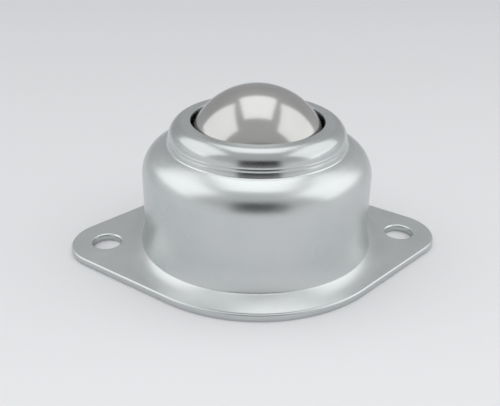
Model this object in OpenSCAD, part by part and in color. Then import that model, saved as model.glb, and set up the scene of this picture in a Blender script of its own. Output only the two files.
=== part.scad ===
// Ball transfer unit with a two-hole flange.
// A large steel ball turns in any direction on a bed of small balls. The bed lies in a
// hardened cup, and the cup is pressed into a housing drawn from one sheet of steel.
// The origin is on the ball's axis, at the underside of the flange. +Z points up, and the
// two fixing holes lie on the X axis. All sizes are in millimetres.

/* [Load ball] */
// Diameter of the load ball
ball_d = 30; // [28.4:0.2:30.4]
// Height of the load ball's centre above the mounting face
ball_z = 21.1; // [21:0.1:21.4]

/* [Bearing balls] */
// Diameter of the small balls under the load ball
small_ball_d = 4; // [3:0.2:4.4]
// Free play between a small ball and each of the two surfaces that it rolls on
roll_play = 0.05; // [0.03:0.01:0.1]

/* [Race cup] */
// Wall of the pressed cup
cup_t = 1.2; // [0.8:0.1:1.3]
// Depth of the skirt that is pressed into the housing
skirt_h = 6; // [3:0.5:9]
// Interference of the skirt in the housing, on the radius
press_fit = 0.02; // [0.01:0.01:0.04]

/* [Housing] */
// Thickness of the sheet
sheet_t = 1.5; // [1.2:0.1:1.5]
// Outer diameter of the body
body_d = 48; // [47:0.5:49]
// Height at which the shoulder's bend leaves the body's wall
shoulder_z = 18.1; // [17.9:0.1:18.5]
// Outer radius of the shoulder's bend, next to the body's wall
shoulder_r = 6; // [5.75:0.25:6.25]
// Slope at which the shoulder's bend runs into its flatter crest, in degrees from level
crest_turn = 33; // [31:1:35]
// Outer radius of the shoulder's crest
crest_r = 12; // [10:0.5:14]
// Height of the lip's flat top
lip_z = 29.2; // [29:0.1:29.6]
// Outer diameter of the lip's flat top
crown_d = 30.4; // [30:0.1:30.8]
// Outer radius of the tighter bend, next to the lip's flat top
crown_r = 2.7; // [2.5:0.1:2.9]
// Slope at which the tighter bend runs into the wider one, in degrees from level
crown_turn = 37; // [34:1:40]
// Outer radius of the wider bend, next to the neck's flank
neck_r = 4.1; // [3.9:0.1:4.3]
// Lean of the neck's flank, in degrees from upright
neck_lean = 14; // [12:1:17]
// Radius of the groove where the neck meets the shoulder
root_r = 0.4; // [0.3:0.1:0.8]
// Diameter of the opening that the ball stands out of
lip_d = 27.5; // [27.3:0.1:28]

/* [Flange] */
// Length of the flange, over both ears
flange_l = 80; // [79:0.5:84]
// Width of the flange, over its round middle
flange_w = 59; // [58:0.5:62]
// Radius of the ears
ear_r = 9.5; // [8.5:0.25:10]
// Diameter of the dished ring round the body's foot
dish_d = 57.6; // [56:0.2:57.8]
// Slope of the dished ring where it starts from the foot, in degrees from level
dish_turn = 33; // [31:1:36]
// Radius of the tight bend from the body's wall into the dished ring
foot_r = 0.4; // [0.3:0.1:0.6]
// Radius of the flare at the foot of the body's wall
flare_r = 16; // [14:1:18]
// Lean of the wall at the end of its flare, in degrees from upright
flare_turn = 19; // [17:1:20]
// Distance between the two fixing holes
hole_pitch = 65; // [64:0.5:66]
// Diameter of the fixing holes
hole_d = 6; // [5:0.5:6.5]

/* [Hidden] */
$fn = 128;
steel = "silver";
plate = "lightsteelblue";
hard_steel = "slategray";

// Housing, from the outer sizes of the sheet
body_r = body_d / 2;
body_in_r = body_r - sheet_t;
shoulder_c = [body_r - shoulder_r, shoulder_z];
crest_c = shoulder_c + (shoulder_r - crest_r) * [sin(crest_turn), cos(crest_turn)];
crown_c = [crown_d / 2, lip_z - crown_r];
neck_c = crown_c + (crown_r - neck_r) * [sin(crown_turn), cos(crown_turn)];
// The neck's flank is as long as lets the groove below it touch the shoulder's crest
flank_dir = [sin(neck_lean), -cos(neck_lean)];
flank_top_c = neck_c + (neck_r + root_r) * [cos(neck_lean), sin(neck_lean)];
groove_from = flank_top_c - crest_c;
groove_reach = crest_r + root_r;
flank_drop = groove_from * flank_dir;
flank_l = -flank_drop - sqrt(pow(flank_drop, 2) - groove_from * groove_from + pow(groove_reach, 2));
root_c = flank_top_c + flank_l * flank_dir;
root_turn = atan2(root_c.y - crest_c.y, root_c.x - crest_c.x);
// The wall flares, turns in a tight bend, and runs into the dished ring, flat at its edge
flare_out = flare_r * (1 - cos(flare_turn)) + foot_r * (cos(flare_turn) - sin(dish_turn));
dish_r = (dish_d / 2 - body_r - flare_out) / sin(dish_turn);
dish_c = [dish_d / 2, sheet_t + dish_r];
foot_c = dish_c + (foot_r - dish_r) * [sin(dish_turn), cos(dish_turn)];
flare_c = foot_c + (flare_r - foot_r) * [cos(flare_turn), sin(flare_turn)];

// Flange, whose straight flanks join its round middle to the ears
middle_r = flange_w / 2;
ear_x = flange_l / 2 - ear_r;
flank_turn = acos((middle_r - ear_r) / ear_x);
// The flanks lie this far inside the true tangents, so that they cut the arcs cleanly
flank_inset = 0.01;

// Cup, whose bowl runs into a rolled rim that touches the housing's wall
race_r = ball_d / 2 + small_ball_d + 2 * roll_play;
cup_fit_r = body_in_r + press_fit;
seat_drop = ball_z - shoulder_c.y;
rim_r = (pow(cup_fit_r, 2) + pow(seat_drop, 2) - pow(race_r, 2)) / (2 * (race_r + cup_fit_r));
rim_c = [cup_fit_r - rim_r, shoulder_c.y];
rim_polar = acos(seat_drop / (race_r + rim_r));

// Bed of small balls, in rows round the ball's axis, from the bottom of the cup upwards
bed_r = ball_d / 2 + roll_play + small_ball_d / 2;
row_gap = 0.05;
ring_gap = 0.02;
row_step = 2 * asin((small_ball_d + row_gap) / 2 / bed_r);
row_count = floor((rim_polar + 1) / row_step) + 1;
function row_balls(row) = row == 0 ? 1
    : floor(180 / asin((small_ball_d + ring_gap) / 2 / (bed_r * sin(row * row_step))));
function balls_below(row) = row == 0 ? 0 : balls_below(row - 1) + row_balls(row - 1);

// The balls of the lower rows are nodes of their own, and each upper row is one node
single_rows = 4;
function ball_name(n) = str("bearing_ball_", n < 9 ? "0" : "", n + 1);
function row_name(row) = str("bearing_balls_row_", row + 1);

// Points of an arc in the plane of a turned profile, one every arc_step degrees or less
arc_step = 5;
race_step = 2.5;
function arc(centre, r, from, to, step = arc_step) =
    let (count = ceil(abs(to - from) / step))
    [for (i = [0 : count]) let (a = from + (to - from) * i / count)
        centre + r * [cos(a), sin(a)]];

// One face of the drawn sheet, from the foot up to the lip, set inwards by inset
function sheet_face(inset) = concat(
    arc(dish_c, dish_r + inset, 270, 270 - dish_turn),
    arc(foot_c, foot_r + inset, 270 - dish_turn, 180 + flare_turn),
    arc(flare_c, flare_r + inset, 180 + flare_turn, 180),
    arc(shoulder_c, shoulder_r - inset, 0, 90 - crest_turn),
    arc(crest_c, crest_r - inset, 90 - crest_turn, root_turn),
    arc(root_c, root_r + inset, 180 + root_turn, 180 + neck_lean),
    arc(neck_c, neck_r - inset, neck_lean, 90 - crown_turn),
    arc(crown_c, crown_r - inset, 90 - crown_turn, 90)
);

// Solid that the sheet's outer face bounds
module outer_form() {
    rotate_extrude()
        polygon(concat([[0, lip_z], [0, 0], [dish_c.x, 0]], sheet_face(0)));
}

// Hollow that the sheet's inner face bounds, with the opening for the ball
module inner_form() {
    rotate_extrude()
        polygon(concat(
            [[0, 2 * lip_z], [0, -sheet_t], [dish_c.x, -sheet_t]],
            sheet_face(sheet_t),
            [[lip_d / 2, lip_z - sheet_t], [lip_d / 2, 2 * lip_z]]
        ));
}

// Plate between the round middle and one ear
module flank_plate() {
    out = [cos(flank_turn), sin(flank_turn)];
    near = (middle_r - flank_inset) * out;
    far = [ear_x, 0] + (ear_r - flank_inset) * out;
    linear_extrude(sheet_t)
        polygon([[0, 0], [near.x, -near.y], [far.x, -far.y], far, near]);
}

module flange_plate() {
    cylinder(r = middle_r, h = sheet_t);
    for (end = [0, 180])
        rotate([0, 0, end]) {
            translate([ear_x, 0, 0])
                cylinder(r = ear_r, h = sheet_t);
            flank_plate();
        }
}

module housing() {
    color(plate)
        difference() {
            union() {
                flange_plate();
                outer_form();
            }
            inner_form();
            for (side = [-1, 1])
                translate([side * hole_pitch / 2, 0, 0])
                    cylinder(d = hole_d, h = 4 * sheet_t, center = true);
        }
}

// The bowl, its rolled rim and the skirt are one pressing of even thickness
module race_cup() {
    bowl_c = [0, ball_z];
    skirt_z = rim_c.y - skirt_h;
    color(hard_steel)
        rotate_extrude()
            polygon(concat(
                arc(bowl_c, race_r, -90, rim_polar - 90, race_step),
                arc(rim_c, rim_r, 90 + rim_polar, 0),
                [[cup_fit_r, skirt_z], [cup_fit_r - cup_t, skirt_z]],
                arc(rim_c, rim_r - cup_t, 0, 90 + rim_polar),
                arc(bowl_c, race_r + cup_t, rim_polar - 90, -90, race_step)
            ));
}

module main_ball() {
    color(steel)
        translate([0, 0, ball_z])
            sphere(d = ball_d);
}

// One small ball, and every other row is turned by half a ball
module bearing_ball(row, place) {
    polar = row * row_step;
    turn = (place + (row % 2) / 2) * 360 / row_balls(row);
    color(hard_steel)
        translate([
            bed_r * sin(polar) * cos(turn),
            bed_r * sin(polar) * sin(turn),
            ball_z - bed_r * cos(polar)
        ])
            sphere(d = small_ball_d);
}

module bearing_ball_row(row) {
    for (place = [0 : row_balls(row) - 1])
        bearing_ball(row, place);
}

housing();
race_cup();
main_ball();
for (row = [0 : single_rows - 1])
    for (place = [0 : row_balls(row) - 1])
        bearing_ball(row, place);
for (row = [single_rows : row_count - 1])
    bearing_ball_row(row);
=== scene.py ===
# Ball transfer unit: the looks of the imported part, piece by piece, as it is put together.
# Lengths are in metres, in the part's own frame: the flange lies on the table, the load ball
# stands on the Z axis and the two fixing holes lie on the X axis. Angles are in degrees.
import math

import bmesh
import bpy
from mathutils import Matrix, Vector


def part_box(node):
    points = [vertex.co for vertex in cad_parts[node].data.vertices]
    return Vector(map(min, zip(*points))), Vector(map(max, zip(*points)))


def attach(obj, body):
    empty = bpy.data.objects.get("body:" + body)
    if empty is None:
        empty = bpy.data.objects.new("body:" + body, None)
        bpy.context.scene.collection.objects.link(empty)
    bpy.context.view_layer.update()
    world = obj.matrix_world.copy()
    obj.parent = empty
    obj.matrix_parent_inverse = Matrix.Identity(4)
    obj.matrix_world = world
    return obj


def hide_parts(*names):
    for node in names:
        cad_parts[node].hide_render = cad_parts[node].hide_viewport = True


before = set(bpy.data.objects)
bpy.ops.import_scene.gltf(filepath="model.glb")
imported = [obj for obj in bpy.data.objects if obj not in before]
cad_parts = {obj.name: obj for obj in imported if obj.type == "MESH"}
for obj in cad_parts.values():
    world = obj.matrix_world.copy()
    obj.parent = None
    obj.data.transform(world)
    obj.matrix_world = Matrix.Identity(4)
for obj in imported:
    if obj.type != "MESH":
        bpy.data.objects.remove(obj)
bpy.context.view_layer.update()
scene = bpy.context.scene


# ---------------------------------------------------------------------------------------------
# Camera. A small product is shot from close by, a little to the left of its front and looking
# down on it, so the near side of the flange spreads out.
camera_place = Vector((-0.01457, -0.13504, 0.07897))
camera_aim = Vector((-0.00133, 0.0, 0.00986))
camera_roll = 0.924
camera_data = bpy.data.cameras.new("camera")
camera_data.lens = 50.63
camera_data.clip_start = 0.005
camera_data.clip_end = 20.0
camera_data.dof.use_dof = False
look = (camera_aim - camera_place).to_track_quat("-Z", "Y").to_matrix()
roll = Matrix.Rotation(math.radians(camera_roll), 3, "Z")
camera = bpy.data.objects.new("camera", camera_data)
camera.location = camera_place
camera.rotation_euler = (look @ roll).to_euler()
scene.collection.objects.link(camera)
scene.camera = camera


# ---------------------------------------------------------------------------------------------
# Housing. One sheet of steel, deep-drawn in several strokes into flange, body, shoulder, neck
# and the lip that keeps the ball in, then punched, trimmed and zinc-plated. It is modelled as
# the sheet's outer face, which is then given its thickness and its rolled and sheared edges.
half_length, half_width, lip_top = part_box("housing")[1]
sheet = 0.0015
ear_radius = 0.0095
hole_x = 0.0325
hole_radius = 0.003
lip_radius = 0.01375
crown_radius = 0.0152
body_radius = 0.024
shoulder_z = 0.0181
dish_radius = 0.0288

# Each bend by the radius of the sheet's outer face, and by how far above level that face
# points at the bend's end
crown_bend = 0.0027
crown_turn = 53
neck_bend = 0.0041
neck_lean = 14
root_bend = 0.0004
crest_bend = 0.012
crest_turn = 57
shoulder_bend = 0.006
flare_bend = 0.016
flare_turn = 19
foot_bend = 0.0004
dish_turn = 57

# The edges: rolled by the dies, rounded by the punch, or left as they were sheared
rolled_edge = 0.0004
hole_edge = 0.0005
lip_edge = 0.00025
sheared_edge = 0.00008

along_y = (0, 1, 0)
along_z = (0, 0, 1)
housing_turns = 288
margin = 0.00005


def facing(degrees):
    """The direction that points so many degrees above level, in the plane of a profile."""
    return Vector((math.cos(math.radians(degrees)), 0, math.sin(math.radians(degrees))))


def line_to(bm, tip, point):
    """Draws a straight edge from tip to a point, and gives its far end."""
    end = bmesh.ops.extrude_vert_indiv(bm, verts=[tip])["verts"][0]
    end.co = Vector(point)
    return end


def arc_about(bm, tip, centre, axis, degrees, steps):
    """Draws an arc of edges from tip round centre, and gives its far end."""
    turned = bmesh.ops.spin(
        bm, geom=[tip], cent=centre, axis=axis, dvec=(0, 0, 0),
        angle=math.radians(degrees), steps=steps, use_duplicate=False)
    return [v for v in turned["geom_last"] if isinstance(v, bmesh.types.BMVert)][0]


def bend(bm, tip, start, end, radius, steps):
    """Draws a bend of the sheet, over which its face turns from start to end degrees above
    level. A hollow bend has a negative radius."""
    centre = tip.co - radius * facing(start)
    return arc_about(bm, tip, centre, along_y, start - end, steps)


def turn_profile(bm, steps):
    """Turns everything drawn so far once round the Z axis."""
    bmesh.ops.spin(
        bm, geom=bm.verts[:] + bm.edges[:], cent=(0, 0, 0), axis=along_z, dvec=(0, 0, 0),
        angle=2 * math.pi, steps=steps, use_merge=True, use_duplicate=False)
    bmesh.ops.remove_doubles(bm, verts=bm.verts[:], dist=1e-7)


# The lip's flat top and the neck's two bends. The short first step leaves room to round the
# opening's edge.
bm = bmesh.new()
tip = bm.verts.new((lip_radius, 0, lip_top))
tip = line_to(bm, tip, (lip_radius + 2 * lip_edge, 0, lip_top))
tip = line_to(bm, tip, (crown_radius, 0, lip_top))
tip = bend(bm, tip, 90, crown_turn, crown_bend, steps=12)
tip = bend(bm, tip, crown_turn, neck_lean, neck_bend, steps=12)

# The neck's flank is as long as lets the groove below it touch the shoulder's crest
shoulder_centre = Vector((body_radius - shoulder_bend, 0, shoulder_z))
crest_centre = shoulder_centre + (shoulder_bend - crest_bend) * facing(crest_turn)
down_flank = facing(neck_lean - 90)
groove = tip.co + root_bend * facing(neck_lean) - crest_centre
along = groove.dot(down_flank)
flank = -along - math.sqrt(along ** 2 - groove.length_squared + (crest_bend + root_bend) ** 2)
groove += flank * down_flank
root_turn = math.degrees(math.atan2(groove.z, groove.x))

# The drawing die has left two fine lines round the flank, given here as shares of its length
draw_lines = (0.20, 0.54)
line_reach = 0.04
line_depth = 0.00003
flank_top = tip.co.copy()
for line in draw_lines:
    for share, depth in ((line - line_reach, 0), (line, line_depth), (line + line_reach, 0)):
        point = flank_top + share * flank * down_flank - depth * facing(neck_lean)
        tip = line_to(bm, tip, point)
tip = line_to(bm, tip, flank_top + flank * down_flank)
tip = bend(bm, tip, neck_lean, root_turn, -root_bend, steps=10)
tip = bend(bm, tip, root_turn, crest_turn, crest_bend, steps=8)
tip = bend(bm, tip, crest_turn, 0, shoulder_bend, steps=24)

# The wall flares at its foot, turns in a tight bend and runs out in a dished ring. Two rows
# of corners on the way down keep the straight wall's faces from growing long and thin.
wall_rows = (0.015, 0.012)
flare_out = flare_bend * (1 - facing(flare_turn).x)
foot_out = foot_bend * (facing(flare_turn).x - facing(dish_turn).x)
dish_bend = (dish_radius - body_radius - flare_out - foot_out) / facing(dish_turn).x
foot_z = sheet + dish_bend + (foot_bend - dish_bend) * facing(dish_turn).z
flare_z = foot_z + (flare_bend - foot_bend) * facing(flare_turn).z
for z in (*wall_rows, flare_z):
    tip = line_to(bm, tip, (body_radius, 0, z))
tip = bend(bm, tip, 0, flare_turn, -flare_bend, steps=12)
tip = bend(bm, tip, flare_turn, dish_turn, -foot_bend, steps=6)
tip = bend(bm, tip, dish_turn, 90, -dish_bend, steps=12)
tip = line_to(bm, tip, (dish_radius + margin, 0, sheet))
turn_profile(bm, housing_turns)

# Between the ears the flange is narrow, so there the draw has pulled the ring up into a cone.
# The wall's flare is lifted with it, less and less towards its upper end.
cone_radius = 0.02905
cone_slope = 0.42
cone_fade = 6
dish_from = dish_radius - dish_bend * facing(dish_turn).x
dish_top = sheet + dish_bend * (1 - facing(dish_turn).z)
cone_lift = sheet + cone_slope * (cone_radius - dish_from) - dish_top
for corner in bm.verts:
    off_axis = math.hypot(corner.co.x, corner.co.y)
    narrowness = (corner.co.y / off_axis) ** cone_fade
    if off_axis >= dish_from:
        cone_z = sheet + cone_slope * (cone_radius - off_axis)
        corner.co.z += narrowness * (cone_z - corner.co.z)
    elif corner.co.z < flare_z:
        corner.co.z += narrowness * cone_lift * (flare_z - corner.co.z) / (flare_z - dish_top)
plate_rims = [e for e in bm.edges if e.is_boundary and e.verts[0].co.z < 2 * sheet]

# The flange's outline: an ear, a flank, the round middle and a flank, twice over
ear_x = half_length - ear_radius
flank_turn = math.degrees(math.acos((half_width - ear_radius) / ear_x))


def outline(bm, inset):
    """Draws the closed outline of the flange, set inwards, and gives its edges."""
    before = set(bm.edges)
    ear = ear_radius - inset
    middle = half_width - inset
    flank_x = math.cos(math.radians(flank_turn))
    flank_y = math.sin(math.radians(flank_turn))
    start = bm.verts.new((ear_x + ear * flank_x, -ear * flank_y, sheet))
    tip = start
    for side in (1, -1):
        tip = arc_about(bm, tip, (side * ear_x, 0, sheet), along_z, 2 * flank_turn, steps=40)
        tip = line_to(bm, tip, (side * middle * flank_x, side * middle * flank_y, sheet))
        tip = arc_about(bm, tip, (0, 0, sheet), along_z, 180 - 2 * flank_turn, steps=56)
        if side == 1:
            tip = line_to(bm, tip, (-start.co.x, -start.co.y, sheet))
    bm.edges.new((tip, start))
    return [e for e in bm.edges if e not in before]


def ring(bm, radius, x):
    """Draws a circle round a fixing hole, and gives its edges."""
    circle = bmesh.ops.create_circle(
        bm, segments=96, radius=radius, matrix=Matrix.Translation((x, 0, sheet)))
    return list({e for v in circle["verts"] for e in v.link_edges})


# Narrow bands along the outline and round the holes will take the rounded edges, and the
# plate is filled in between them
outer = outline(bm, 0)
inner = outline(bm, rolled_edge + margin)
bmesh.ops.bridge_loops(bm, edges=outer + inner)
plate_rims += inner
for x in (hole_x, -hole_x):
    wide = ring(bm, hole_radius + hole_edge + margin, x)
    bmesh.ops.bridge_loops(bm, edges=wide + ring(bm, hole_radius, x))
    plate_rims += wide
bmesh.ops.triangle_fill(bm, use_beauty=True, edges=plate_rims, normal=(0, 0, 1))
bmesh.ops.recalc_face_normals(bm, faces=bm.faces[:])
bmesh.ops.solidify(bm, geom=bm.faces[:], thickness=sheet)
bmesh.ops.recalc_face_normals(bm, faces=bm.faces[:])


def square_edges(bm, z):
    """The square edges of the sheet at one height."""
    near = 0.1 * sheet
    return [e for e in bm.edges
            if all(abs(v.co.z - z) < near for v in e.verts)
            and e.is_manifold and e.calc_face_angle() > math.radians(60)]


def rims_a_hole(edge):
    """Whether an edge of the flange lies on the rim of a fixing hole."""
    corner = edge.verts[0].co
    return math.hypot(abs(corner.x) - hole_x, corner.y) < hole_radius + margin


def round_over(bm, edges, size, segments):
    """Rounds edges over, as far back from each edge as size says."""
    bmesh.ops.bevel(
        bm, geom=edges, offset=size, offset_type="OFFSET", affect="EDGES",
        segments=segments, profile=0.5, material=-1, clamp_overlap=True)


def piece_from(bm, name):
    """Makes the bmesh an object of its own at the origin, shaded smooth up to sharp edges."""
    mesh = bpy.data.meshes.new(name)
    bm.to_mesh(mesh)
    bm.free()
    mesh.shade_smooth()
    mesh.set_sharp_from_angle(angle=math.radians(35))
    made = bpy.data.objects.new(name, mesh)
    scene.collection.objects.link(made)
    return made


hole_rims = [e for e in square_edges(bm, sheet) if rims_a_hole(e)]
round_over(bm, hole_rims, hole_edge, segments=8)
round_over(bm, square_edges(bm, sheet), rolled_edge, segments=5)
round_over(bm, square_edges(bm, lip_top), lip_edge, segments=4)
round_over(bm, square_edges(bm, 0), sheared_edge, segments=2)
round_over(bm, square_edges(bm, lip_top - sheet), sheared_edge, segments=2)
housing = piece_from(bm, "housing_shell")


def new_material(name):
    """Makes a node material, and gives it with its node tree and its shader."""
    made = bpy.data.materials.new(name)
    made.use_nodes = True
    return made, made.node_tree, made.node_tree.nodes["Principled BSDF"]


def node(tree, kind, settings=(), **values):
    """Adds a node, sets its properties from settings and its inputs from values."""
    made = tree.nodes.new(kind)
    for name, value in dict(settings).items():
        setattr(made, name, value)
    for name, value in values.items():
        made.inputs[name.replace("_", " ")].default_value = value
    return made


def noise(tree, **values):
    """Adds a noise that is fixed to the piece, and gives its 0 to 1 value."""
    made = node(tree, "ShaderNodeTexNoise", **values)
    tree.links.new(node(tree, "ShaderNodeTexCoord").outputs["Object"], made.inputs["Vector"])
    return made.outputs["Fac"]


def progress(tree, coordinates, axis, start, end):
    """How far a point lies along an axis, as a value that runs from 0 at start to 1 at end."""
    point = node(tree, "ShaderNodeSeparateXYZ")
    tree.links.new(node(tree, "ShaderNodeTexCoord").outputs[coordinates], point.inputs["Vector"])
    share = node(tree, "ShaderNodeMapRange", From_Min=start, From_Max=end)
    tree.links.new(point.outputs[axis], share.inputs["Value"])
    return share.outputs["Result"]


def ramp(tree, source, stops):
    """Maps a 0 to 1 value through colour stops, each (place, grey or colour)."""
    made = tree.nodes.new("ShaderNodeValToRGB")
    tree.links.new(source, made.inputs["Fac"])
    elements = made.color_ramp.elements
    while len(elements) < len(stops):
        elements.new(0.5)
    for element, (place, colour) in zip(elements, stops):
        element.position = place
        element.color = (*colour, 1) if hasattr(colour, "__len__") else (colour, colour, colour, 1)
    return made.outputs["Color"]


def multiply(tree, socket, factor):
    """Multiplies what already feeds a socket by a factor."""
    product = node(tree, "ShaderNodeVectorMath", {"operation": "MULTIPLY"})
    tree.links.new(socket.links[0].from_socket, product.inputs[0])
    tree.links.new(factor, product.inputs[1])
    tree.links.new(product.outputs["Vector"], socket)


def metal(name, colours, roughnesses, **mottling):
    """Makes a bare metal, whose colour and roughness drift with a noise that is fixed to it."""
    made, tree, shader = new_material(name)
    mottle = noise(tree, **mottling)
    tree.links.new(ramp(tree, mottle, colours), shader.inputs["Base Color"])
    tree.links.new(ramp(tree, mottle, roughnesses), shader.inputs["Roughness"])
    shader.inputs["Metallic"].default_value = 1.0
    return made


# Bright zinc: slightly blue-green, satin, and clouded where the bath left it thicker
zinc = metal(
    "bright_zinc_plate",
    [(0.32, (0.580, 0.612, 0.612)), (0.68, (0.626, 0.642, 0.640))],
    [(0.30, 0.27), (0.70, 0.33)],
    Scale=140.0, Detail=4.0, Roughness=0.55)
tree = zinc.node_tree
shader = tree.nodes["Principled BSDF"]

# The roller that turned the lip in has burnished the neck smooth. Its upper bends are painted
# darker, a painted shade that dims their highlight.
neck_foot = 0.0236
up_neck = progress(tree, "Object", "Z", neck_foot, lip_top)
painted_crown_shade = ramp(tree, up_neck, [(0.58, 1.0), (0.74, 0.84), (0.96, 0.84), (1.00, 0.92)])
smoothing = ramp(tree, up_neck, [(0.00, 1.0), (0.14, 0.72), (0.85, 0.72), (1.00, 0.95)])
# Painted shade: the base colour is darkened over the neck's upper bends to dim their highlight
multiply(tree, shader.inputs["Base Color"], painted_crown_shade)
multiply(tree, shader.inputs["Roughness"], smoothing)

# The plating's crystals are too fine to see, and only soften its shine
grain = node(tree, "ShaderNodeBump", Strength=0.04, Distance=0.00002)
tree.links.new(noise(tree, Scale=5200.0, Detail=3.0, Roughness=0.6), grain.inputs["Height"])
tree.links.new(grain.outputs["Normal"], shader.inputs["Normal"])

housing.data.materials.append(zinc)
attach(housing, "housing")
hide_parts("housing")


# ---------------------------------------------------------------------------------------------
# Race cup. A bowl pressed from thinner sheet, case-hardened, with its rim rolled over into a
# skirt. It is pushed up into the housing from below, and its skirt grips the body's wall.
cup_low, cup_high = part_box("race_cup")
ball_low, ball_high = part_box("main_ball")
ball_centre = (ball_low + ball_high) / 2
cup_wall = 0.0012
cup_turns = 192
skirt = cup_high.x
skirt_depth = 0.006
skirt_edge = 0.0002
skirt_low = shoulder_z - skirt_depth
race = ball_centre.z - cup_low.z - cup_wall
seat_drop = ball_centre.z - shoulder_z
rim = (skirt ** 2 + seat_drop ** 2 - race ** 2) / (2 * (race + skirt))
rim_polar = math.degrees(math.acos(seat_drop / (race + rim)))
rim_centre = (skirt - rim, 0, shoulder_z)
bowl_centre = (0, 0, ball_centre.z)

# Up the race, over the rim and down the skirt, and back along the pressing's other face
bm = bmesh.new()
tip = bm.verts.new((0, 0, ball_centre.z - race))
tip = arc_about(bm, tip, bowl_centre, along_y, -rim_polar, steps=40)
tip = arc_about(bm, tip, rim_centre, along_y, 90 + rim_polar, steps=24)
tip = line_to(bm, tip, (skirt, 0, skirt_low))
tip = line_to(bm, tip, (skirt - cup_wall, 0, skirt_low))
tip = line_to(bm, tip, (skirt - cup_wall, 0, shoulder_z))
tip = arc_about(bm, tip, rim_centre, along_y, -90 - rim_polar, steps=16)
tip = arc_about(bm, tip, bowl_centre, along_y, rim_polar, steps=40)
turn_profile(bm, cup_turns)
bmesh.ops.recalc_face_normals(bm, faces=bm.faces[:])
round_over(bm, square_edges(bm, skirt_low), skirt_edge, segments=3)
cup = piece_from(bm, "race_cup_pressing")

# Case-hardened steel: dark grey, with a trace of blue and straw
hardened = metal(
    "hardened_steel",
    [(0.30, (0.150, 0.155, 0.175)), (0.52, (0.200, 0.198, 0.200)), (0.72, (0.235, 0.215, 0.190))],
    [(0.25, 0.28), (0.75, 0.42)],
    Scale=90.0, Detail=5.0, Roughness=0.6)
cup.data.materials.append(hardened)
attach(cup, "housing")
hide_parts("race_cup")


# ---------------------------------------------------------------------------------------------
# Bearing balls. Ground balls of bearing steel in seven rows, loose between cup and load ball.
# The CAD balls have the right shape, so they stay and only take their finish.
ground_steel = metal(
    "ground_bearing_steel",
    [(0.3, (0.52, 0.52, 0.515)), (0.7, (0.56, 0.56, 0.55))],
    [(0.3, 0.06), (0.7, 0.12)],
    Scale=700.0, Detail=3.0)
for name, cad_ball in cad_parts.items():
    if name.startswith("bearing_ball"):
        cad_ball.data.materials.clear()
        cad_ball.data.materials.append(ground_steel)


# ---------------------------------------------------------------------------------------------
# Load ball. A 30 mm ball of through-hardened steel, lapped and polished to a mirror, which
# turns freely in any direction on the small balls and is kept in by the housing's lip.
ball_radius = ball_high.z - ball_centre.z
bm = bmesh.new()
bmesh.ops.create_icosphere(
    bm, subdivisions=7, radius=ball_radius, matrix=Matrix.Translation(ball_centre))
load_ball = piece_from(bm, "load_ball")

polished = metal(
    "polished_steel",
    [(0.3, (0.474, 0.473, 0.460)), (0.7, (0.500, 0.499, 0.486))],
    [(0.3, 0.15), (0.7, 0.18)],
    Scale=160.0, Detail=4.0, Roughness=0.6)
load_ball.data.materials.append(polished)
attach(load_ball, "main_ball")
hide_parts("main_ball")


# ---------------------------------------------------------------------------------------------
# Table top. A wide sheet of pale matt paper that the unit stands on. It grows a little darker
# towards the back, where the light falls off.
table_half = 3.0
falloff_from = -0.05
falloff_to = 0.25
bm = bmesh.new()
bmesh.ops.create_grid(bm, x_segments=2, y_segments=2, size=table_half)
table = piece_from(bm, "table_top")

paper, tree, shader = new_material("pale_table")
shade = ramp(tree, progress(tree, "Object", "Y", falloff_from, falloff_to), [
    (0.00, (0.830, 0.830, 0.846)), (0.15, (0.780, 0.785, 0.800)), (0.30, (0.735, 0.741, 0.756)),
    (0.60, (0.680, 0.688, 0.702)), (1.00, (0.652, 0.659, 0.677))])
tree.links.new(shade, shader.inputs["Base Color"])
shader.inputs["Roughness"].default_value = 0.9
shader.inputs["Specular IOR Level"].default_value = 0.0
table.data.materials.append(paper)


# ---------------------------------------------------------------------------------------------
# Soft boxes. Three square boxes of white cloth with a lamp in each, one high over the back and
# one on either side. They light the part softly, and the polished ball shows all three.
box_distance = 0.65


def soft_box(name, azimuth, elevation, width, height, radiance):
    """Hangs a soft box that faces the load ball. Its azimuth is counted from the front round
    to the right. A flat lamp gives off pi times its radiance from each square metre."""
    data = bpy.data.lights.new(name, "AREA")
    data.shape = "RECTANGLE"
    data.size = width
    data.size_y = height
    data.energy = radiance * math.pi * width * height
    around = math.radians(azimuth)
    up = math.radians(elevation)
    away = Vector((math.cos(up) * math.sin(around), -math.cos(up) * math.cos(around), math.sin(up)))
    made = bpy.data.objects.new(name, data)
    made.location = Vector(bowl_centre) + box_distance * away
    made.rotation_euler = away.to_track_quat("Z", "Y").to_euler()
    scene.collection.objects.link(made)


soft_box("box_over_back", azimuth=174, elevation=76, width=0.46, height=0.56, radiance=0.96)
soft_box("box_left", azimuth=-100, elevation=38.5, width=0.66, height=0.54, radiance=0.86)
soft_box("box_right", azimuth=89, elevation=37, width=0.68, height=0.58, radiance=0.86)
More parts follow.
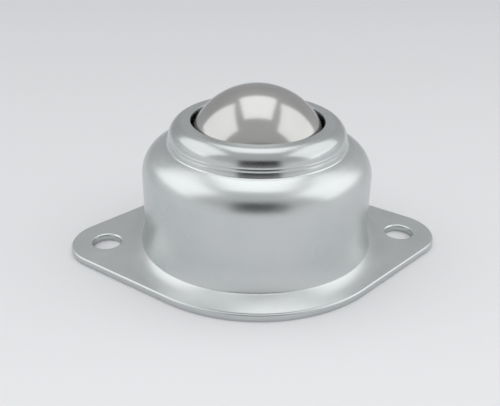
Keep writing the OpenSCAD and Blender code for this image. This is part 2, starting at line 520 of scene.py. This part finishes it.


# ---------------------------------------------------------------------------------------------
# Camera card. A dark card that stands for the camera on its stand, which polished steel always
# shows, though half as far to the left. Its foot glows with painted light that stands for the
# table's light it would catch. Only the part's own reflections show it.
card_width = 0.130
card_low = 0.027
card_high = 0.131
card_distance = 0.140
card_turn = Vector((0.5 * camera_place.x, camera_place.y, 0)).normalized()
card_place = card_distance * card_turn + Vector((0, 0, (card_low + card_high) / 2))
lay = Matrix.Translation(card_place) @ card_turn.to_track_quat("Z", "Y").to_matrix().to_4x4()
spread = Matrix.Diagonal((card_width, card_high - card_low, 1, 1))
bm = bmesh.new()
bmesh.ops.create_grid(bm, x_segments=1, y_segments=1, size=0.5)
bmesh.ops.transform(bm, matrix=lay @ spread, verts=bm.verts[:])
card = piece_from(bm, "camera_card")

card_black, tree, shader = new_material("dark_card")
# Painted light: the card glows, brightest at its foot and nearly black at its top
painted_foot_light = ramp(tree, progress(tree, "Object", "Z", card_low, card_high), [
    (0.0, 0.30), (0.12, 0.18), (0.30, 0.10), (0.45, 0.012)])
tree.links.new(painted_foot_light, shader.inputs["Emission Color"])
shader.inputs["Emission Strength"].default_value = 1.0
shader.inputs["Base Color"].default_value = (0.01, 0.01, 0.01, 1)
shader.inputs["Roughness"].default_value = 0.9
card.data.materials.append(card_black)
card.visible_camera = False
card.visible_diffuse = False
card.visible_shadow = False


# ---------------------------------------------------------------------------------------------
# Room. The grey walls and ceiling that everything mirrors, a trace bluer than neutral. They are
# pale low down at the front and the sides, and darker behind the part.
world = bpy.data.worlds.new("grey_room")
scene.world = world
world.use_nodes = True
tree = world.node_tree


def walls(levels):
    """The room's grey by height, from level with the part to straight above it."""
    height = progress(tree, "Generated", "Z", 0, 1)
    return ramp(tree, height, [(at, (grey, grey + 0.005, grey + 0.010)) for at, grey in levels])


# A Mix node's two colours are its inputs 6 and 7, and their mix is its output 2
in_front = walls([(0.00, 0.850), (0.10, 0.810), (0.25, 0.690), (0.42, 0.570), (0.85, 0.640)])
behind = walls([(0.00, 0.460), (0.42, 0.500), (0.85, 0.640)])
room = node(tree, "ShaderNodeMix", {"data_type": "RGBA"})
tree.links.new(progress(tree, "Generated", "Y", 0.3, 0.9), room.inputs[0])
tree.links.new(in_front, room.inputs[6])
tree.links.new(behind, room.inputs[7])
tree.links.new(room.outputs[2], tree.nodes["Background"].inputs["Color"])
tree.nodes["Background"].inputs["Strength"].default_value = 1.0
scene.view_settings.view_transform = "Standard"
